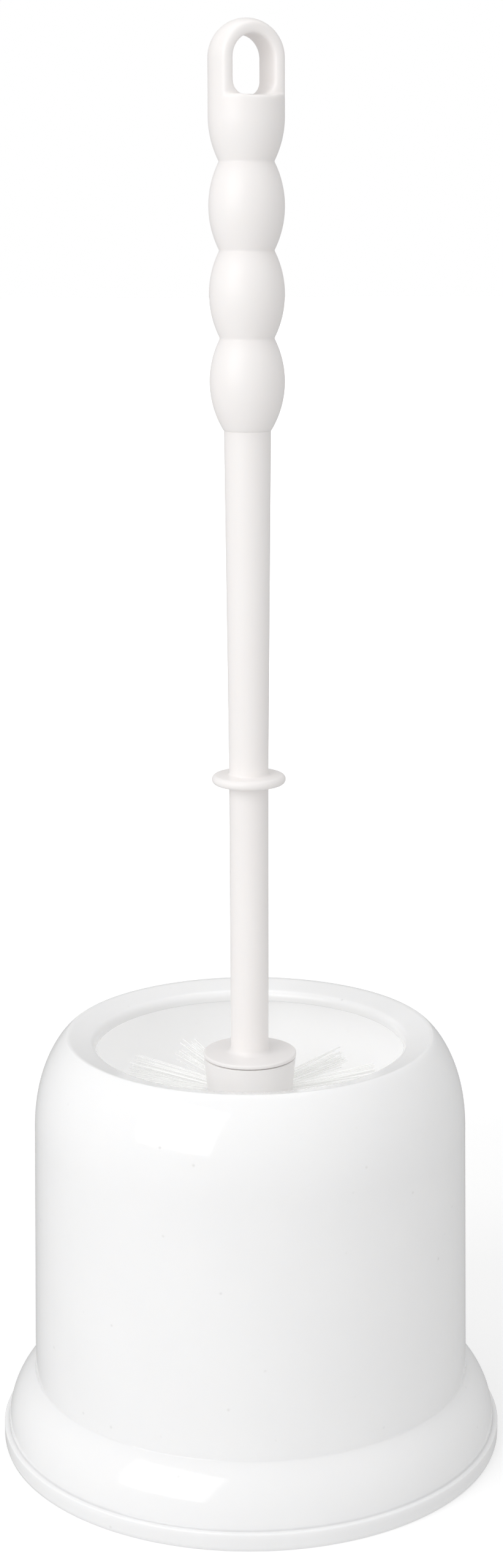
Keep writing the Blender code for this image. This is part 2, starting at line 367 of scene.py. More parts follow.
holder = {
    "wall": 0.0018,
    "mouthRadius": 0.0430,
    "lipBottom": 0.1148,
    "lipRoll": 0.0021,
    "rimSlope": math.radians(15),
    "crestRadius": 0.0510,
    "crestHeight": 0.11985,
    "shoulderStart": math.radians(4),
    "innerStart": math.radians(13),
    "shoulderBottom": 0.0916,
    "powerOut": 1.575,
    "powerDown": 0.873,
    "wallTopRadius": 0.0605,
    "wallBottomRadius": 0.0618,
    "flareTop": 0.0212,
    "flareBottom": 0.0052,
    "flareEndRadius": 0.0696,
    "footRadius": holderHigh.x,
    "footBottomRadius": 0.0707,
    "footInnerRadius": 0.0692,
    "bandBottom": 0.0010,
    "footInnerDrop": 0.0002,
    "lipRound": 0.0005,
    "underRimRound": 0.0009,
    "flareRound": 0.0004,
    "bandTopRound": 0.0005,
    "bandBottomRound": 0.0004,
    "footRound": 0.0002,
    "lipSteps": 12,
    "rimSteps": 6,
    "shoulderSteps": (44, 24),  # outer face, inner face
    "wallSteps": (26, 14),
    "flareSteps": (22, 12),
    "steps": 224,
    "unevenness": 0.00006,
    "unevenScale": 1.3,
    "unevenRise": 12.0,  # how much closer its bumps lie up the wall than round it
    "footFade": 0.01,  # the height over which it dies away towards the flare
    "shoulderFade": 0.02,
    "innerTop": 0.1140,
    "innerFade": 0.0040,
}


def rimLevel(radius):
    return holder["crestHeight"] - (holder["crestRadius"] - radius) * math.tan(holder["rimSlope"])


def shoulderLine(offset, start, steps):
    width = holder["wallTopRadius"] - holder["crestRadius"]
    height = holder["crestHeight"] - holder["shoulderBottom"]
    powerOut, powerDown = holder["powerOut"], holder["powerDown"]
    points = []
    for i in range(steps + 1):
        turn = start + (math.pi / 2 - start) * i / steps
        out, up = math.sin(turn), max(math.cos(turn), 1e-6)
        radius = holder["crestRadius"] + width * out**powerOut
        level = holder["shoulderBottom"] + height * up**powerDown
        across = width * powerOut * out ** (powerOut - 1) * up
        down = height * powerDown * up ** (powerDown - 1) * out
        length = math.hypot(across, down)
        points.append((radius + offset * down / length, level + offset * across / length))
    return points


def flareLine(change, steps):
    width = holder["flareEndRadius"] - holder["wallBottomRadius"]
    height = holder["flareTop"] - holder["flareBottom"]
    radius = (width**2 + height**2) / (2 * width)
    centre = (holder["flareEndRadius"] - radius, holder["flareBottom"])
    start = math.acos((holder["wallBottomRadius"] + change - centre[0]) / (radius + change))
    return arc(centre, radius + change, start, 0.0, steps)


def wallLine(top, bottom, steps):
    return [tuple(Vector(top).lerp(Vector(bottom), i / steps)) for i in range(1, steps)]


def holderProfile():
    wall, mouth, roll = holder["wall"], holder["mouthRadius"], holder["lipRoll"]
    upAndIn = math.pi / 2 + holder["rimSlope"]
    rollCentreR = mouth + roll
    rollEndR = rollCentreR + roll * math.cos(upAndIn)
    rollCentre = (rollCentreR, rimLevel(rollEndR) - roll * math.sin(upAndIn))
    foot, flareBottom = holder["footRadius"], holder["flareBottom"]

    profile = [(mouth, holder["lipBottom"], holder["lipRound"])]
    profile += arc(rollCentre, roll, math.pi, upAndIn, holder["lipSteps"])
    shoulder = shoulderLine(0.0, holder["shoulderStart"], holder["shoulderSteps"][0])
    profile += wallLine(profile[-1], shoulder[0], holder["rimSteps"])
    profile += shoulder
    flare = flareLine(0.0, holder["flareSteps"][0])
    profile += wallLine(shoulder[-1], flare[0], holder["wallSteps"][0])
    profile += [(*flare[0], holder["flareRound"])]
    profile += flare[1:]
    profile += [(foot, flareBottom, holder["bandTopRound"])]
    profile += [(foot, holder["bandBottom"], holder["bandBottomRound"])]
    profile += [(holder["footBottomRadius"], 0.0, holder["footRound"])]

    back = mouth + wall
    underRim = rimLevel(back) - wall / math.cos(holder["rimSlope"])
    inner = [(back, holder["lipBottom"], holder["lipRound"])]
    inner += [(back, underRim, holder["underRimRound"])]
    innerShoulder = shoulderLine(-wall, holder["innerStart"], holder["shoulderSteps"][1])
    innerFlare = flareLine(-wall, holder["flareSteps"][1])
    inner += innerShoulder
    inner += wallLine(innerShoulder[-1], innerFlare[0], holder["wallSteps"][1])
    inner += innerFlare
    inner += [(holder["footInnerRadius"], flareBottom - holder["footInnerDrop"])]
    inner += [(holder["footInnerRadius"], 0.0, holder["footRound"])]
    return softened(profile + inner[::-1])


def markInnerFace(mesh):
    # 1 on the face that looks inwards or down, below the lip, and 0 everywhere else: the mask for the
    # painted inner glow
    marks = []
    for vertex in mesh.vertices:
        x, y, z = vertex.co
        radius = math.hypot(x, y)
        facing = -(vertex.normal.x * x + vertex.normal.y * y) / radius - vertex.normal.z
        fade = (holder["innerTop"] - z) / holder["innerFade"]
        marks.append(max(0.0, min(1.0, facing, fade, z / holder["flareBottom"])))
    mesh.attributes.new("innerFace", "FLOAT", "POINT").data.foreach_set("value", marks)


def makeHolderShell(finish):
    shell = turned("bellHolder", holderProfile(), holder["steps"], True, finish)
    markInnerFace(shell.data)
    # A moulded wall is never quite true: its two faces wander together by a few hundredths of a millimetre
    low, lowFade = holder["flareTop"], holder["footFade"]
    high, highFade = holder["shoulderBottom"], holder["shoulderFade"]
    for vertex in shell.data.vertices:
        x, y, z = vertex.co
        radius = math.hypot(x, y)
        fade = min(1.0, max(0.0, (z - low) / lowFade))
        fade *= min(1.0, max(0.0, (high + highFade - z) / highFade))
        spot = Vector((x / radius, y / radius, z * holder["unevenRise"])) * holder["unevenScale"]
        push = 1 + fade * holder["unevenness"] * noise.noise(spot) / radius
        vertex.co.x *= push
        vertex.co.y *= push
    return shell


base = {
    "underside": baseLow.z,
    "floor": 0.0026,
    "floorRings": (0.020, 0.040),
    "skirt": 0.0020,
    "skirtTop": baseHigh.z,
    "outer": baseHigh.x,
    "floorRound": 0.0005,
    "skirtRound": 0.0004,
    "undersideRound": 0.0005,
    "grooveDepth": 0.0004,
    "grooveRound": 0.0002,
    # Radii at which each underside groove starts, reaches its depth, leaves it and ends
    "grooves": ((0.0585, 0.0580, 0.0565, 0.0560), (0.0260, 0.0256, 0.0040, 0.0036)),
    "steps": 160,
}


def makeHolderBase(finish):
    outer, inner = base["outer"], base["outer"] - base["skirt"]
    under, floor = base["underside"], base["floor"]
    profile = [(0.0, floor)]
    profile += [(radius, floor) for radius in base["floorRings"]]
    profile += [
        (inner, floor, base["floorRound"]),
        (inner, base["skirtTop"], base["skirtRound"]),
        (outer, base["skirtTop"], base["skirtRound"]),
        (outer, under, base["undersideRound"]),
    ]
    for start, down, up, end in base["grooves"]:
        deep = under + base["grooveDepth"]
        for radius, level in ((start, under), (down, deep), (up, deep), (end, under)):
            profile.append((radius, level, base["grooveRound"]))
    profile.append((0.0, under))
    return turned("pressedInBase", softened(profile), base["steps"], False, finish)


# The brush handle

handle = {
    "gripRadius": 0.00995,
    "neckRadius": 0.0072,
    "beadPitch": 0.02255,
    "beads": 3,
    "firstNeck": 0.3562,
    "neckRound": 0.00035,
    "gripEndRadius": 0.0064,
    "gripEndRound": 0.0002,
    "gripStep": 0.0001,
    "gripStepRound": 0.00008,
    "shaftTopRadius": 0.00625,
    "shaftRingRadius": 0.00537,
    "shaftBottomRadius": 0.00528,
    "ringHeight": 0.1924,
    "ringRadius": 0.0101,
    "ringHalf": 0.0013,
    "ringFillet": 0.0007,
    "flangeTop": 0.1142,
    "flangeThickness": 0.0011,
    "flangeRadius": 0.0130,
    "flangeFillet": 0.0016,
    "flangeTopRound": 0.0005,
    "flangeUnderRound": 0.0003,
    "spigotRadius": 0.0040,
    "spigotRootRound": 0.0002,
    "spigotEndRound": 0.0005,
    "spigotBottom": handleLow.z,
    "beadSteps": 40,
    "shaftSteps": (30, 20),  # above the ring, below it
    "ringSteps": 20,
    "steps": 144,
}

loop = {
    "centre": handleHigh.z - handle["gripRadius"],
    "ledge": 0.3729,
    "half": 0.0050,
    "holeRadius": 0.0059,
    "holeCorner": 0.0035,
    "turn": math.radians(27),
    "faceRound": 0.0014,
    "holeRound": 0.0022,
    "ledgeRound": 0.0010,
    "voxel": 0.00033,
    "roughSteps": 96,
    "domeSteps": 24,
    "cornerSteps": 8,
    "overlap": 0.002,  # how far the rough shape reaches below the loop
    "cutterReach": 0.02,
    "cutterHalf": 0.01,
    "cutterRise": 0.03,
    "settleRounds": 12,
    "settlePull": 0.5,  # how far a point moves towards the middle of its neighbours
    "settleSteps": 3,
    "heldBelow": 0.001,  # points lower than this stay as the remesh left them
    "seamRise": 0.0006,
    "seamGap": 0.0001,
}


def beadShape():
    half = handle["beadPitch"] / 2
    rise = handle["gripRadius"] - handle["neckRadius"]
    radius = (half**2 + rise**2) / (2 * rise)
    return half, radius, handle["gripRadius"] - radius


def gripLine():
    half, radius, centreR = beadShape()
    neckTurn = math.asin(half / radius)
    endTurn = math.acos((radius - handle["gripRadius"] + handle["gripEndRadius"]) / radius)
    firstNeck = handle["firstNeck"]
    points = arc((centreR, firstNeck + half), radius, 0.0, -neckTurn, handle["beadSteps"] // 2)
    for bead in range(handle["beads"]):
        lowTurn = endTurn if bead == handle["beads"] - 1 else neckTurn
        centreZ = firstNeck - half - bead * handle["beadPitch"]
        points[-1] = (*points[-1], handle["neckRound"])
        points += arc((centreR, centreZ), radius, neckTurn, -lowTurn, handle["beadSteps"])[1:]
    return points


def handleProfile():
    h = handle
    ringMiddle, ringHalf = h["ringHeight"], h["ringHalf"]
    ringTop, ringBottom = ringMiddle + ringHalf, ringMiddle - ringHalf
    flangeTop, flangeBottom = h["flangeTop"], h["flangeTop"] - h["flangeThickness"]
    points = gripLine()
    gripEnd = points[-1][1]
    points[-1] = (*points[-1][:2], h["gripEndRound"])
    points.append((h["shaftTopRadius"], gripEnd - h["gripStep"], h["gripStepRound"]))
    points += wallLine(points[-1][:2], (h["shaftRingRadius"], ringTop), h["shaftSteps"][0])
    points.append((h["shaftRingRadius"], ringTop, h["ringFillet"]))
    ringCentre = (h["ringRadius"] - ringHalf, ringMiddle)
    points += arc(ringCentre, ringHalf, math.pi / 2, -math.pi / 2, h["ringSteps"])
    points.append((h["shaftRingRadius"], ringBottom, h["ringFillet"]))
    shaftBottom = (h["shaftBottomRadius"], flangeTop + h["flangeFillet"])
    points += wallLine(points[-1][:2], shaftBottom, h["shaftSteps"][1])
    points.append((h["shaftBottomRadius"], flangeTop, h["flangeFillet"]))
    points.append((h["flangeRadius"], flangeTop, h["flangeTopRound"]))
    points.append((h["flangeRadius"], flangeBottom, h["flangeUnderRound"]))
    points.append((h["spigotRadius"], flangeBottom, h["spigotRootRound"]))
    points.append((h["spigotRadius"], h["spigotBottom"], h["spigotEndRound"]))
    points.append((0.0, h["spigotBottom"]))
    return softened(points)


def softMax(a, b, reach):
    blend = np.maximum(reach - np.abs(a - b), 0.0) / reach
    return np.maximum(a, b) + blend**3 * reach / 6


def loopField(points):
    # How far each point is outside the loop: the round grip, flattened above the ledge, less its hole
    half, radius, centreR = beadShape()
    x, y, z = points.T
    across = x * math.cos(loop["turn"]) + y * math.sin(loop["turn"])
    through = -x * math.sin(loop["turn"]) + y * math.cos(loop["turn"])
    around = np.hypot(x, y)
    capBottom = handle["firstNeck"] + half
    body = np.hypot(around, np.maximum(z - loop["centre"], 0.0)) - handle["gripRadius"]
    body = np.where(z < capBottom, np.hypot(around - centreR, z - capBottom) - radius, body)
    plate = np.abs(through) - loop["half"]
    kept = -softMax(-plate, loop["ledge"] - z, loop["ledgeRound"])
    cornerX = np.abs(across) - (loop["holeRadius"] - loop["holeCorner"])
    cornerZ = loop["ledge"] + loop["holeCorner"] - z
    below = np.hypot(np.maximum(cornerX, 0.0), np.maximum(cornerZ, 0.0))
    below += np.minimum(np.maximum(cornerX, cornerZ), 0.0) - loop["holeCorner"]
    hole = np.where(z > loop["centre"], np.hypot(across, z - loop["centre"]) - loop["holeRadius"], below)
    return softMax(softMax(body, kept, loop["faceRound"]), -hole, loop["holeRound"])


def fieldSlope(points, step=1e-6):
    slopes = []
    for axis in range(3):
        shift = np.zeros(3)
        shift[axis] = step
        slopes.append((loopField(points + shift) - loopField(points - shift)) / (2 * step))
    return np.stack(slopes, axis=1)


def prism(outline, depth, turn):
    # An outline of (across, height) points, pushed out to both sides through the loop's thickness
    shape = bmesh.new()
    front = [shape.verts.new((x, -depth, z)) for x, z in outline]
    shape.faces.new(front)
    pushed = bmesh.ops.extrude_face_region(shape, geom=list(shape.faces))
    moved = [g for g in pushed["geom"] if isinstance(g, bmesh.types.BMVert)]
    bmesh.ops.translate(shape, verts=moved, vec=(0.0, 2 * depth, 0.0))
    bmesh.ops.rotate(shape, verts=shape.verts, matrix=Matrix.Rotation(turn, 3, "Z"))
    bmesh.ops.recalc_face_normals(shape, faces=shape.faces)
    mesh = bpy.data.meshes.new("loopCutter")
    shape.to_mesh(mesh)
    shape.free()
    obj = bpy.data.objects.new("loopCutter", mesh)
    scene.collection.objects.link(obj)
    return obj


def roughLoop(capBottom):
    # The loop with sharp edges, remeshed evenly, for settle to lay on the surface of loopField
    radius, centre, ledge = handle["gripRadius"], loop["centre"], loop["ledge"]
    bottom = capBottom - loop["overlap"]
    profile = arc((0.0, centre), radius, math.pi / 2, 0.0, loop["domeSteps"])
    profile += [(radius, bottom), (0.0, bottom)]
    rough = turned("roughLoop", profile, loop["roughSteps"], False, None)
    holeR, cornerR, cornerSteps = loop["holeRadius"], loop["holeCorner"], loop["cornerSteps"]
    outline = arc((0.0, centre), holeR, 0.0, math.pi, loop["domeSteps"])
    outline += arc((cornerR - holeR, ledge + cornerR), cornerR, math.pi, 1.5 * math.pi, cornerSteps)
    outline += arc((holeR - cornerR, ledge + cornerR), cornerR, 1.5 * math.pi, 2 * math.pi, cornerSteps)
    reach, depth, top = loop["cutterReach"], loop["cutterHalf"], ledge + loop["cutterRise"]
    cutters = [prism(outline, reach, loop["turn"])]
    for side in (-1, 1):
        aside = Matrix.Translation((0.0, (loop["half"] + depth) * side, 0.0))
        block = prism([(-reach, ledge), (reach, ledge), (reach, top), (-reach, top)], depth, 0.0)
        block.data.transform(Matrix.Rotation(loop["turn"], 4, "Z") @ aside)
        cutters.append(block)
    for cutter in cutters:
        cut = rough.modifiers.new("cut", "BOOLEAN")
        cut.operation = "DIFFERENCE"
        cut.solver = "EXACT"
        cut.object = cutter
    remesh = rough.modifiers.new("even", "REMESH")
    remesh.mode = "VOXEL"
    remesh.voxel_size = loop["voxel"]
    graph = bpy.context.evaluated_depsgraph_get()
    mesh = bpy.data.meshes.new_from_object(rough.evaluated_get(graph))
    for obj in [rough] + cutters:
        bpy.data.objects.remove(obj, do_unlink=True)
    return mesh


def settle(mesh, floor):
    # Neighbours are averaged, then each point is walked back along the field's slope onto the surface
    count = len(mesh.vertices)
    points = np.empty(count * 3)
    mesh.vertices.foreach_get("co", points)
    points = points.reshape(-1, 3)
    ends = np.empty(len(mesh.edges) * 2, int)
    mesh.edges.foreach_get("vertices", ends)
    ends = ends.reshape(-1, 2)
    degree = np.bincount(ends.ravel(), minlength=count)[:, None]
    held = points[:, 2] < floor
    for _ in range(loop["settleRounds"]):
        total = np.zeros_like(points)
        np.add.at(total, ends[:, 0], points[ends[:, 1]])
        np.add.at(total, ends[:, 1], points[ends[:, 0]])
        pull = (total / degree - points) * loop["settlePull"]
        points = np.where(held[:, None], points, points + pull)
        for _ in range(loop["settleSteps"]):
            slope = fieldSlope(points)
            step = np.where(held, 0.0, loopField(points) / (slope**2).sum(axis=1))
            points -= slope * step[:, None]
    mesh.vertices.foreach_set("co", points.ravel())


def stitchRings(shape, upper, lower):
    # Closes the gap between two level rings of unlike counts with one band of triangles
    def angle(vert):
        return math.atan2(vert.co.y, vert.co.x) % (2 * math.pi)

    upper, lower = sorted(upper, key=angle), sorted(lower, key=angle)
    up, low = [angle(v) for v in upper], [angle(v) for v in lower]
    i = j = 0
    while i < len(upper) or j < len(lower):
        nextUp = up[(i + 1) % len(up)] + 2 * math.pi * ((i + 1) // len(up))
        nextLow = low[(j + 1) % len(low)] + 2 * math.pi * ((j + 1) // len(low))
        here, below = upper[i % len(upper)], lower[j % len(lower)]
        if j == len(lower) or (i < len(upper) and nextUp < nextLow):
            shape.faces.new((here, below, upper[(i + 1) % len(upper)]))
            i += 1
        else:
            shape.faces.new((here, below, lower[(j + 1) % len(lower)]))
            j += 1


def makeHandle(finish):
    half, _, _ = beadShape()
    capBottom = handle["firstNeck"] + half
    shaft = turned("beadedHandle", handleProfile(), handle["steps"], False, finish)
    loopMesh = roughLoop(capBottom)
    settle(loopMesh, capBottom - loop["heldBelow"])
    shape = bmesh.new()
    shape.from_mesh(loopMesh)
    bpy.data.meshes.remove(loopMesh)
    seam = capBottom + loop["seamRise"]
    everything = list(shape.verts) + list(shape.edges) + list(shape.faces)
    bmesh.ops.bisect_plane(shape, geom=everything, plane_co=(0, 0, seam), plane_no=(0, 0, 1),
                           clear_inner=True)
    upper = [vert for vert in shape.verts if vert.is_boundary]
    for vert in upper:
        reach = handle["gripRadius"] / math.hypot(vert.co.x, vert.co.y)
        vert.co = (vert.co.x * reach, vert.co.y * reach, seam)
    shape.from_mesh(shaft.data)
    lowest = seam - loop["seamGap"]
    lower = [vert for vert in shape.verts if vert.is_boundary and vert.co.z < lowest]
    stitchRings(shape, upper, lower)
    bmesh.ops.recalc_face_normals(shape, faces=shape.faces)
    for face in shape.faces:
        face.smooth = True
        face.material_index = 0
    shape.to_mesh(shaft.data)
    shape.free()
    return shaft


# The brush head and its bristles

head = {
    "boreRadius": handle["spigotRadius"] + fitGap,
    "top": headHigh.z,
    "collarTopRadius": 0.0129,
    "collarBottomRadius": 0.0119,
    "collarBottom": 0.1030,
    "collarStep": 0.0003,
    "coreRadius": 0.0112,
    "domeCentre": 0.0405,
    "mouthRound": 0.0002,
    "collarTopRound": 0.0004,
    "collarBottomRound": 0.0003,
    "coreRound": 0.0002,
    "holeRadius": 0.0020,
    "holeDepth": 0.0035,
    "drillLength": 0.009,
    "drillSides": 20,
    "coreSteps": 24,
    "domeSteps": 20,
    "steps": 96,
    "sharpAngle": math.radians(40),
}

# Each row's height where its tufts' lines meet the axis, then its tilt above level in degrees,
# its number of tufts and the first one's direction in degrees
tuftRows = [
    (0.1012, 3, 10, 9),
    (0.0830, 0, 10, 27),
    (0.0650, 0, 10, 9),
    (0.0470, 0, 10, 27),
    (head["domeCentre"], -27, 9, 9),
    (head["domeCentre"], -56, 5, 27),
    (head["domeCentre"], -90, 1, 0),
]

# How far each tuft of the top row leans round the head, in degrees, and how widely it opens
topRowSet = [(6, 1.0), (0, 0.75), (7, 0.9), (3, 1.0), (0, 1.15),
             (-9, 1.15), (-4, 1.0), (3, 1.1), (-2, 0.9), (6, 1.0)]

bristles = {
    "perTuft": 38,
    "rootRadius": 0.0015,
    "tipRadius": 0.0042,
    "rootReach": head["coreRadius"] - 0.0031,
    "tipReach": 0.0375,
    "thickness": 0.00014,
    "sides": 5,
    "bendPoints": 5,
    "waviness": 0.0009,
    "raggedness": 0.0010,
    "openingPower": 0.75,  # below 1, a tuft opens mostly near its root
    "leanSpread": 4.0,
    "openSpread": 0.15,
    "seed": 11,
}


def tuftPlaces():
    for height, tilt, count, first in tuftRows:
        for number in range(count):
            azimuth, lift = math.radians(first + 360 * number / count), math.radians(tilt)
            level = math.cos(lift)
            outward = Vector((math.cos(azimuth) * level, math.sin(azimuth) * level, math.sin(lift)))
            yield Vector((0, 0, height)), outward


def makeHeadBlock(finish):
    top, core, dome = head["top"], head["coreRadius"], head["domeCentre"]
    boreBottom = handle["spigotBottom"] - fitGap
    profile = [
        (0.0, boreBottom),
        (head["boreRadius"], boreBottom),
        (head["boreRadius"], top, head["mouthRound"]),
        (head["collarTopRadius"], top, head["collarTopRound"]),
        (head["collarBottomRadius"], head["collarBottom"], head["collarBottomRound"]),
        (core, head["collarBottom"] - head["collarStep"], head["coreRound"]),
    ]
    profile += wallLine(profile[-1][:2], (core, dome), head["coreSteps"])
    profile += arc((0.0, dome), core, 0.0, -math.pi / 2, head["domeSteps"])
    block = turned("headBlock", softened(profile), head["steps"], False, finish)
    holes = bmesh.new()
    holeBottom, length, radius = core - head["holeDepth"], head["drillLength"], head["holeRadius"]
    for point, outward in tuftPlaces():
        turn = outward.to_track_quat("Z", "Y").to_matrix().to_4x4()
        place = Matrix.Translation(point + outward * (holeBottom + length / 2)) @ turn
        bmesh.ops.create_cone(holes, cap_ends=True, segments=head["drillSides"], radius1=radius,
                              radius2=radius, depth=length, matrix=place)
    mesh = bpy.data.meshes.new("tuftHoles")
    holes.to_mesh(mesh)
    holes.free()
    cutter = bpy.data.objects.new("tuftHoles", mesh)
    scene.collection.objects.link(cutter)
    drill = block.modifiers.new("drilled", "BOOLEAN")
    drill.operation = "DIFFERENCE"
    drill.solver = "EXACT"
    drill.object = cutter
    graph = bpy.context.evaluated_depsgraph_get()
    drilled = bpy.data.meshes.new_from_object(block.evaluated_get(graph))
    block.modifiers.remove(drill)
    block.data = drilled
    bpy.data.objects.remove(cutter, do_unlink=True)
    drilled.shade_smooth()
    drilled.set_sharp_from_angle(angle=head["sharpAngle"])
    return block


def bristleTree():
    tree = bpy.data.node_groups.new("tuftedBristles", "GeometryNodeTree")
    face = tree.interface
    face.new_socket("Tuft Points", in_out="INPUT", socket_type="NodeSocketGeometry")
    for label, kind in (("Per Tuft", "Int"), ("Root Radius", "Float"), ("Tip Radius", "Float"),
                        ("Root Reach", "Float"), ("Tip Reach", "Float"), ("Thickness", "Float"),
                        ("Sides", "Int"), ("Bend Points", "Int"), ("Waviness", "Float"),
                        ("Raggedness", "Float"), ("Seed", "Int"), ("Finish", "Material")):
        face.new_socket(label, in_out="INPUT", socket_type="NodeSocket" + kind)
    face.new_socket("Bristles", in_out="OUTPUT", socket_type="NodeSocketGeometry")
    given = addNode(tree, "NodeGroupInput").outputs

    def named(label, kind="FLOAT_VECTOR"):
        node = addNode(tree, "GeometryNodeInputNamedAttribute", {"data_type": kind})
        node.inputs["Name"].default_value = label
        return node.outputs["Attribute"]

    def randomValue(low, high, index, offset):
        node = addNode(tree, "FunctionNodeRandomValue", {"data_type": "FLOAT"})
        ins = [s for s in node.inputs if s.enabled]
        plug(tree, low, ins[0])
        plug(tree, high, ins[1])
        plug(tree, index, node.inputs["ID"])
        plug(tree, maths(tree, "ADD", given["Seed"], offset), node.inputs["Seed"])
        return [s for s in node.outputs if s.enabled][0]

    def store(geometry, label, value, kind="FLOAT"):
        node = addNode(tree, "GeometryNodeStoreNamedAttribute", {"data_type": kind, "domain": "POINT"})
        plug(tree, geometry, node.inputs["Geometry"])
        node.inputs["Name"].default_value = label
        plug(tree, value, node.inputs["Value"])
        return node.outputs["Geometry"]

    points = addNode(tree, "GeometryNodeMeshToPoints", Mesh=given["Tuft Points"])
    many = addNode(tree, "GeometryNodeDuplicateElements", {"domain": "POINT"},
                   Geometry=points.outputs["Points"], Amount=given["Per Tuft"])
    index = addNode(tree, "GeometryNodeInputIndex").outputs["Index"]
    around = randomValue(0.0, 2 * math.pi, index, 1)
    outwards = maths(tree, "SQRT", randomValue(0.0, 1.0, index, 2))
    cosine = maths(tree, "MULTIPLY", maths(tree, "COSINE", around), outwards)
    sine = maths(tree, "MULTIPLY", maths(tree, "SINE", around), outwards)
    spreadAcross = scaled(tree, named("sideways"), cosine)
    spread = vectorMaths(tree, "ADD", spreadAcross, scaled(tree, named("upwards"), sine))
    ragged = maths(tree, "MULTIPLY", randomValue(-1.0, 0.0, index, 3), given["Raggedness"])
    bendAcross = scaled(tree, named("sideways"), randomValue(-1.0, 1.0, index, 4))
    bendUp = scaled(tree, named("upwards"), randomValue(-1.0, 1.0, index, 5))
    bend = vectorMaths(tree, "ADD", bendAcross, bendUp)
    stored = store(many.outputs["Geometry"], "spread", spread, "FLOAT_VECTOR")
    stored = store(stored, "ragged", ragged)
    stored = store(stored, "bend", scaled(tree, bend, given["Waviness"]), "FLOAT_VECTOR")

    line = addNode(tree, "GeometryNodeCurvePrimitiveLine")
    line.inputs["End"].default_value = (0.0, 0.0, 1.0)
    strand = addNode(tree, "GeometryNodeResampleCurve", Curve=line.outputs["Curve"],
                     Count=given["Bend Points"])
    placed = addNode(tree, "GeometryNodeInstanceOnPoints", Points=stored,
                     Instance=strand.outputs["Curve"])
    real = addNode(tree, "GeometryNodeRealizeInstances", Geometry=placed.outputs["Instances"])

    along = addNode(tree, "GeometryNodeSplineParameter").outputs["Factor"]
    length = maths(tree, "SUBTRACT", given["Tip Reach"], given["Root Reach"])
    reach = maths(tree, "MULTIPLY_ADD", along, length, given["Root Reach"])
    reach = maths(tree, "ADD", reach, maths(tree, "MULTIPLY", along, named("ragged", "FLOAT")))
    opening = maths(tree, "POWER", along, bristles["openingPower"])
    tipRadius = maths(tree, "MULTIPLY", given["Tip Radius"], named("openness", "FLOAT"))
    widening = maths(tree, "SUBTRACT", tipRadius, given["Root Radius"])
    radius = maths(tree, "MULTIPLY_ADD", opening, widening, given["Root Radius"])
    bow = maths(tree, "MULTIPLY", along, along)
    place = vectorMaths(tree, "ADD", named("onAxis"), scaled(tree, named("outward"), reach))
    place = vectorMaths(tree, "ADD", place, scaled(tree, named("spread"), radius))
    place = vectorMaths(tree, "ADD", place, scaled(tree, named("bend"), bow))
    moved = addNode(tree, "GeometryNodeSetPosition", Geometry=real.outputs["Geometry"], Position=place)
    section = addNode(tree, "GeometryNodeCurvePrimitiveCircle", Resolution=given["Sides"],
                      Radius=given["Thickness"])
    thick = addNode(tree, "GeometryNodeCurveToMesh", Curve=moved.outputs["Geometry"])
    plug(tree, section.outputs["Curve"], thick.inputs["Profile Curve"])
    thick.inputs["Fill Caps"].default_value = True
    smooth = addNode(tree, "GeometryNodeSetShadeSmooth", Geometry=thick.outputs["Mesh"])
    whole = addNode(tree, "GeometryNodeRealizeInstances", Geometry=smooth.outputs["Geometry"])
    dressed = addNode(tree, "GeometryNodeSetMaterial", Geometry=whole.outputs["Geometry"],
                      Material=given["Finish"])
    out = addNode(tree, "NodeGroupOutput")
    plug(tree, dressed.outputs["Geometry"], out.inputs["Bristles"])
    return tree


def makeBristles(finish):
    places = list(tuftPlaces())
    mesh = bpy.data.meshes.new("tuftPoints")
    mesh.from_pydata([tuple(point) for point, _ in places], [], [])
    columns = {"onAxis": [], "outward": [], "sideways": [], "upwards": []}
    chance = random.Random(bristles["seed"])
    openness = []
    for number, (point, outward) in enumerate(places):
        lean = chance.uniform(-1, 1) * bristles["leanSpread"]
        opening = 1 + chance.uniform(-1, 1) * bristles["openSpread"]
        if number < len(topRowSet):
            lean, opening = topRowSet[number]
        leant = outward.copy()
        leant.rotate(Matrix.Rotation(math.radians(lean), 3, "Z"))
        turn = leant.to_track_quat("Z", "Y").to_matrix()
        columns["onAxis"].append(point)
        columns["outward"].append(leant)
        columns["sideways"].append(turn @ Vector((1, 0, 0)))
        columns["upwards"].append(turn @ Vector((0, 1, 0)))
        openness.append(opening)
    for label, vectors in columns.items():
        attribute = mesh.attributes.new(label, "FLOAT_VECTOR", "POINT")
        attribute.data.foreach_set("vector", [c for v in vectors for c in v])
    mesh.attributes.new("openness", "FLOAT", "POINT").data.foreach_set("value", openness)
    b = bristles
    return grown("bristleTufts", mesh, bristleTree(), {
        "Per Tuft": b["perTuft"], "Root Radius": b["rootRadius"], "Tip Radius": b["tipRadius"],
        "Root Reach": b["rootReach"], "Tip Reach": b["tipReach"], "Thickness": b["thickness"],
        "Sides": b["sides"], "Bend Points": b["bendPoints"], "Waviness": b["waviness"],
        "Raggedness": b["raggedness"], "Seed": b["seed"], "Finish": finish,
    })


# Floor, light and camera

studio = {
    "floorRadius": 9.0,
    "floorColour": (0.88, 0.88, 0.88),
    "floorRoughness": 0.7,
    "floorSpecular": 0.2,
    "nearGlow": 0.25,
    "farGlow": 0.90,
    "glowStart": 0.25,
    "glowEnd": 1.30,
    "backdropRadius": 10.0,
    "frontFill": 0.75,
    "backFill": 0.48,
    "fillTurn": (-0.3, 1.0),  # how far back the fill starts and stops falling off
    "aim": (0, 0, 0.1),
    "keyPower": 5.0,
    "keySize": (0.92, 0.87),
    "keyPlace": (-0.687, -0.819, 0.645),
    "topPower": 3.0,
    "topSize": (1.1, 1.1),
    "topPlace": (0.0, 0.1, 1.5),
}


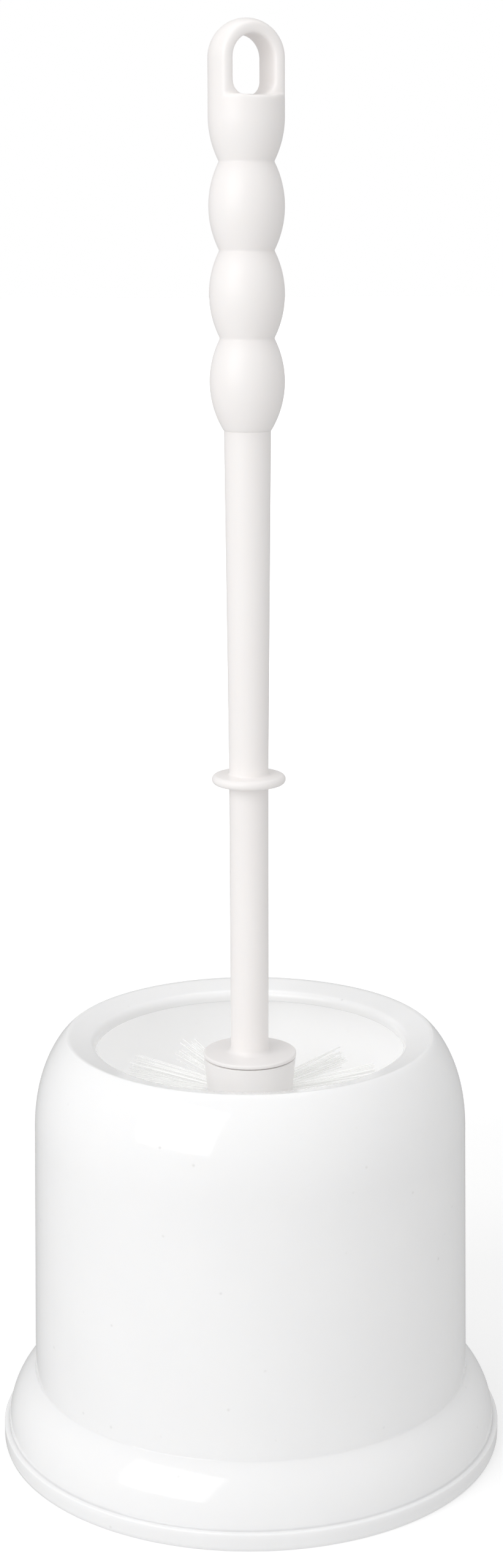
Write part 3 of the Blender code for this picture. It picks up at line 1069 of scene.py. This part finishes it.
def makeFloor():
    shape = bmesh.new()
    bmesh.ops.create_circle(shape, cap_ends=True, segments=96, radius=studio["floorRadius"])
    mesh = bpy.data.meshes.new("paleFloor")
    shape.to_mesh(mesh)
    shape.free()
    floor = bpy.data.objects.new("paleFloor", mesh)
    scene.collection.objects.link(floor)
    material, tree, shader = newMaterial("paleFloorPaint")
    shader.inputs["Base Color"].default_value = (*studio["floorColour"], 1.0)
    shader.inputs["Roughness"].default_value = studio["floorRoughness"]
    shader.inputs["Specular IOR Level"].default_value = studio["floorSpecular"]
    shader.inputs["Emission Color"].default_value = (1.0, 1.0, 1.0, 1.0)
    away = addNode(tree, "ShaderNodeVectorMath", {"operation": "LENGTH"})
    plug(tree, addNode(tree, "ShaderNodeTexCoord").outputs["Object"], away.inputs[0])
    glow = between(tree, away.outputs["Value"], studio["glowStart"], studio["glowEnd"],
                   studio["nearGlow"], studio["farGlow"])
    plug(tree, glow, shader.inputs["Emission Strength"])
    mesh.materials.append(material)
    floor.visible_glossy = False
    floor.visible_diffuse = False


def makeBackdrop():
    # A white dome that only the camera sees: the room behind looks white and the light stays soft
    shape = bmesh.new()
    bmesh.ops.create_uvsphere(shape, u_segments=48, v_segments=24, radius=studio["backdropRadius"])
    mesh = bpy.data.meshes.new("whiteBackdrop")
    shape.to_mesh(mesh)
    shape.free()
    backdrop = bpy.data.objects.new("whiteBackdrop", mesh)
    scene.collection.objects.link(backdrop)
    for ray in ("diffuse", "glossy", "transmission", "volume_scatter", "shadow"):
        setattr(backdrop, "visible_" + ray, False)
    material, tree, shader = newMaterial("whiteBackdropGlow")
    shader.inputs["Base Color"].default_value = (0.0, 0.0, 0.0, 1.0)
    shader.inputs["Specular IOR Level"].default_value = 0.0
    shader.inputs["Emission Color"].default_value = (1.0, 1.0, 1.0, 1.0)
    shader.inputs["Emission Strength"].default_value = 1.0
    mesh.materials.append(material)


def addPanel(name, place, size, power):
    light = bpy.data.lights.new(name, "AREA")
    light.shape = "RECTANGLE"
    light.size, light.size_y = size
    light.energy = power
    obj = bpy.data.objects.new(name, light)
    obj.location = place
    obj.rotation_euler = (Vector(studio["aim"]) - Vector(place)).to_track_quat("-Z", "Y").to_euler()
    scene.collection.objects.link(obj)


def lightStudio():
    world = bpy.data.worlds.new("softStudio")
    world.use_nodes = True
    sky = world.node_tree.nodes["Background"]
    sky.inputs["Color"].default_value = (1.0, 1.0, 1.0, 1.0)
    tree = world.node_tree
    around = addNode(tree, "ShaderNodeTexCoord").outputs["Generated"]
    direction = addNode(tree, "ShaderNodeSeparateXYZ", Vector=around)
    fill = between(tree, direction.outputs["Y"], *studio["fillTurn"], studio["frontFill"],
                   studio["backFill"])
    plug(tree, fill, sky.inputs["Strength"])
    scene.world = world
    addPanel("keyPanel", studio["keyPlace"], studio["keySize"], studio["keyPower"])
    addPanel("topPanel", studio["topPlace"], studio["topSize"], studio["topPower"])
    scene.view_settings.view_transform = "Standard"
    scene.view_settings.look = "None"


view = {
    "distance": 0.669,
    "height": 0.3454,
    "pitch": math.radians(13),
    "yaw": math.radians(-0.063),
    "roll": math.radians(-0.2),
    "lens": 57.66,
    "nearest": 0.02,
    "farthest": 60.0,
}


def placeCamera():
    camera = bpy.data.objects.new("studioCamera", bpy.data.cameras.new("studioCamera"))
    camera.data.lens = view["lens"]
    camera.data.clip_start = view["nearest"]
    camera.data.clip_end = view["farthest"]
    place = Matrix.Translation((0.0, -view["distance"], view["height"]))
    turn = Matrix.Rotation(view["yaw"], 4, "Z") @ Matrix.Rotation(math.pi / 2 - view["pitch"], 4, "X")
    camera.matrix_world = place @ turn @ Matrix.Rotation(view["roll"], 4, "Z")
    scene.collection.objects.link(camera)
    scene.camera = camera


def triangles(obj):
    obj.data.calc_loop_triangles()
    return len(obj.data.loop_triangles)


print("Mixing the plastics and the bristle nylon")
holderPlastic = glossyHolderPlastic()
basePlastic = satinPlastic("satinBasePlastic", baseFinish)
handlePlastic = satinPlastic("satinHandlePlastic", handleFinish)
headPlastic = satinPlastic("satinHeadPlastic", headFinish)
bristleNylon = clearBristleNylon()
turning = turningTree()

print("Turning the bell holder and its pressed-in base")
bellHolder = makeHolderShell(holderPlastic)
pressedInBase = makeHolderBase(basePlastic)

print("Turning the beaded handle and shaping its hanging loop")
beadedHandle = makeHandle(handlePlastic)

print("Turning and drilling the head block")
headBlock = makeHeadBlock(headPlastic)

print("Growing the bristle tufts")
bristleTufts = makeBristles(bristleNylon)

tuftNodes = sorted(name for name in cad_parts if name.startswith("tuft_"))
pieces = [
    (bellHolder, "holder", "holder_plastic", ["holder_shell"]),
    (pressedInBase, "holder", "base_plastic", ["holder_base"]),
    (beadedHandle, "brush", "handle_plastic", ["brush_handle"]),
    (headBlock, "brush", "head_plastic", ["brush_head"]),
    (bristleTufts, "brush", "bristle", tuftNodes),
]
for piece, body, slot, nodes in pieces:
    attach(piece, body)
    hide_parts(*nodes)
    print(piece.name, "rides on", body, "with", triangles(piece), "triangles")

print("Laying the floor and lighting the studio")
makeFloor()
makeBackdrop()
lightStudio()
placeCamera()
